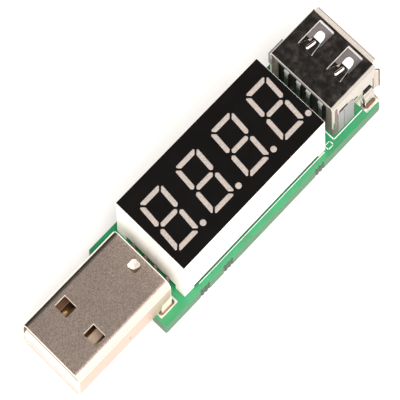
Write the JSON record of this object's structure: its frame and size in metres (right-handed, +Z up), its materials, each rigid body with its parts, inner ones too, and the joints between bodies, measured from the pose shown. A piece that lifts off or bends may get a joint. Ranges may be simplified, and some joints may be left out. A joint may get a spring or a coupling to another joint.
{
  "type": "usb power meter",
  "caption": "Bare circuit board with a USB type A plug at one end, a USB type A socket at the other and a numeric display between them.",
  "frame": {"origin": "under the middle of the overall length and width, at the height of the lowest solder leg tips", "axes": "+X from the plug towards the socket, +Y to the left when looking along +X, +Z up out of the display"},
  "size_m": [0.0632, 0.0162, 0.0104],
  "materials": {
    "board_green": "green solder mask, satin",
    "plug_steel": "fine-grained nickel-plated steel",
    "plug_white": "white moulded plastic",
    "gold_contact": "gold-plated copper alloy",
    "housing_white": "white moulded reflector, satin",
    "face_black": "printed black face, matt",
    "segment_pale": "diffused casting resin, unlit",
    "inner_board": "bare laminate",
    "tinned_pin": "tinned steel",
    "socket_nickel": "bright nickel plate",
    "socket_moulding": "dark moulded plastic",
    "chip_black": "moulded epoxy",
    "shunt_black": "coated resistor with tinned ends",
    "capacitor_tan": "fired ceramic with tinned ends",
    "resistor_black": "coated alumina with tinned ends"
  },
  "bodies": {
    "meter": {"circuit_board": "board_green", "plug_shell": "plug_steel", "plug_insulator": "plug_white", "plug_contact_1": "gold_contact", "plug_contact_2": "gold_contact", "plug_contact_3": "gold_contact", "plug_contact_4": "gold_contact", "display_housing": "housing_white", "display_face": "face_black", "display_epoxy": "segment_pale", "display_board": "inner_board", "display_pin_1": "tinned_pin", "display_pin_2": "tinned_pin", "display_pin_3": "tinned_pin", "display_pin_4": "tinned_pin", "display_pin_5": "tinned_pin", "display_pin_6": "tinned_pin", "display_pin_7": "tinned_pin", "display_pin_8": "tinned_pin", "display_pin_9": "tinned_pin", "display_pin_10": "tinned_pin", "display_pin_11": "tinned_pin", "display_pin_12": "tinned_pin", "socket_shell": "socket_nickel", "socket_insulator": "socket_moulding", "socket_contact_1": "gold_contact", "socket_contact_2": "gold_contact", "socket_contact_3": "gold_contact", "socket_contact_4": "gold_contact", "microcontroller": "chip_black", "voltage_regulator": "chip_black", "sense_amplifier": "chip_black", "current_shunt": "shunt_black", "capacitor_1": "capacitor_tan", "capacitor_2": "capacitor_tan", "capacitor_3": "capacitor_tan", "resistor_1": "resistor_black", "resistor_2": "resistor_black", "resistor_3": "resistor_black", "resistor_4": "resistor_black", "resistor_5": "resistor_black", "resistor_6": "resistor_black", "resistor_7": "resistor_black", "resistor_8": "resistor_black"},
    "socket_spring_top_left": {"socket_spring_top_left": "socket_nickel"},
    "socket_spring_top_right": {"socket_spring_top_right": "socket_nickel"},
    "socket_spring_bottom_left": {"socket_spring_bottom_left": "socket_nickel"},
    "socket_spring_bottom_right": {"socket_spring_bottom_right": "socket_nickel"},
    "socket_contact_beam_1": {"socket_contact_beam_1": "gold_contact"},
    "socket_contact_beam_2": {"socket_contact_beam_2": "gold_contact"},
    "socket_contact_beam_3": {"socket_contact_beam_3": "gold_contact"},
    "socket_contact_beam_4": {"socket_contact_beam_4": "gold_contact"}
  },
  "joints": [
    {"name": "spring_top_left_flex", "type": "hinge", "parent": "meter", "child": "socket_spring_top_left", "pos_m": [0.02535, 0.00285, 0.0098], "axis": [0, -1, 0], "range_deg": [0, 8], "stiffness_Nm_per_rad": 0.02},
    {"name": "spring_top_right_flex", "type": "hinge", "parent": "meter", "child": "socket_spring_top_right", "pos_m": [0.02535, -0.00305, 0.0098], "axis": [0, -1, 0], "range_deg": [0, 8], "stiffness_Nm_per_rad": 0.02},
    {"name": "spring_bottom_left_flex", "type": "hinge", "parent": "meter", "child": "socket_spring_bottom_left", "pos_m": [0.02535, 0.00285, 0.0044], "axis": [0, 1, 0], "range_deg": [0, 8], "stiffness_Nm_per_rad": 0.02},
    {"name": "spring_bottom_right_flex", "type": "hinge", "parent": "meter", "child": "socket_spring_bottom_right", "pos_m": [0.02535, -0.00305, 0.0044], "axis": [0, 1, 0], "range_deg": [0, 8], "stiffness_Nm_per_rad": 0.02},
    {"name": "contact_beam_1_flex", "type": "hinge", "parent": "meter", "child": "socket_contact_beam_1", "pos_m": [0.02375, 0.0034, 0.00783], "axis": [0, -1, 0], "range_deg": [0, 3.5], "stiffness_Nm_per_rad": 0.02},
    {"name": "contact_beam_2_flex", "type": "hinge", "parent": "meter", "child": "socket_contact_beam_2", "pos_m": [0.02375, 0.0009, 0.00783], "axis": [0, -1, 0], "range_deg": [0, 3.5], "stiffness_Nm_per_rad": 0.02},
    {"name": "contact_beam_3_flex", "type": "hinge", "parent": "meter", "child": "socket_contact_beam_3", "pos_m": [0.02375, -0.0011, 0.00783], "axis": [0, -1, 0], "range_deg": [0, 3.5], "stiffness_Nm_per_rad": 0.02},
    {"name": "contact_beam_4_flex", "type": "hinge", "parent": "meter", "child": "socket_contact_beam_4", "pos_m": [0.02375, -0.0036, 0.00783], "axis": [0, -1, 0], "range_deg": [0, 3.5], "stiffness_Nm_per_rad": 0.02}
  ]
}
